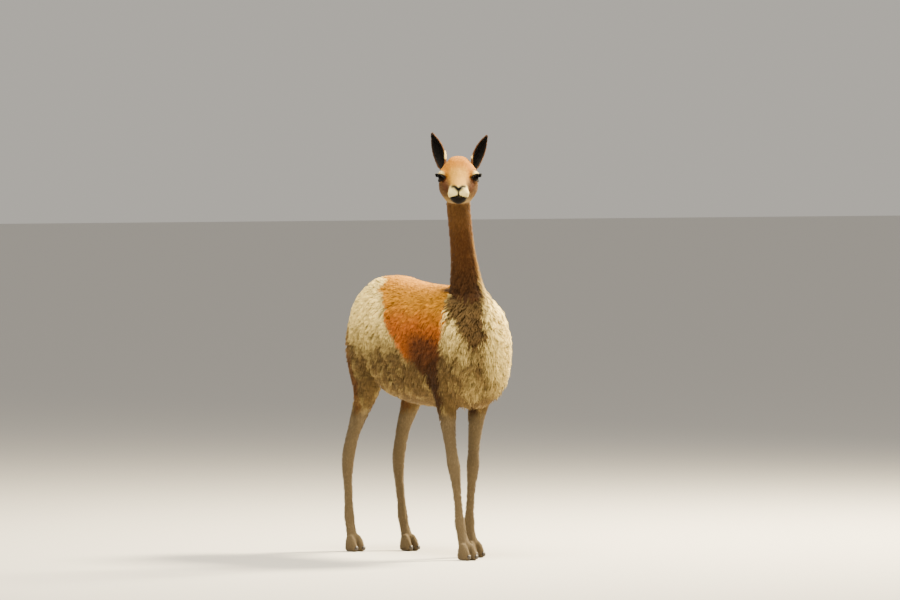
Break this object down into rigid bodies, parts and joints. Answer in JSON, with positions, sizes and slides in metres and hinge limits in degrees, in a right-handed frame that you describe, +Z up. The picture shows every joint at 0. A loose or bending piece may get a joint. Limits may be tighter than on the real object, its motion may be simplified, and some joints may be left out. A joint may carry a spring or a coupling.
{
  "type": "vicuna",
  "caption": "Life-size standing vicuna with long upright neck, head turned to its right, pricked ears, fleecy body, hanging chest bib and slim legs.",
  "frame": {"origin": "on the floor, under the middle of the animal's outline", "axes": "+Z up, -Y the way the chest faces, +X the animal's left; the head looks 33 degrees to its right of -Y"},
  "size_m": [0.3052, 0.7738, 1.2793],
  "materials": {
    "fleece": "matt dense wool, cinnamon above and cream below",
    "short_coat": "matt short hair",
    "eye": "wet gloss",
    "nail": "satin horn"
  },
  "bodies": {
    "root": {"torso": "fleece", "neck": "short_coat", "head": "short_coat", "tail": "fleece", "eye_left": "eye", "eye_right": "eye", "ear_left": "short_coat", "ear_right": "short_coat", "leg_fore_left_upper": "fleece", "leg_fore_left_lower": "short_coat", "foot_fore_left": "short_coat", "nail_fore_left_outer": "nail", "nail_fore_left_inner": "nail", "leg_fore_right_upper": "fleece", "leg_fore_right_lower": "short_coat", "foot_fore_right": "short_coat", "nail_fore_right_outer": "nail", "nail_fore_right_inner": "nail", "leg_hind_left_upper": "fleece", "leg_hind_left_lower": "short_coat", "foot_hind_left": "short_coat", "nail_hind_left_outer": "nail", "nail_hind_left_inner": "nail", "leg_hind_right_upper": "fleece", "leg_hind_right_lower": "short_coat", "foot_hind_right": "short_coat", "nail_hind_right_outer": "nail", "nail_hind_right_inner": "nail"}
  },
  "joints": []
}
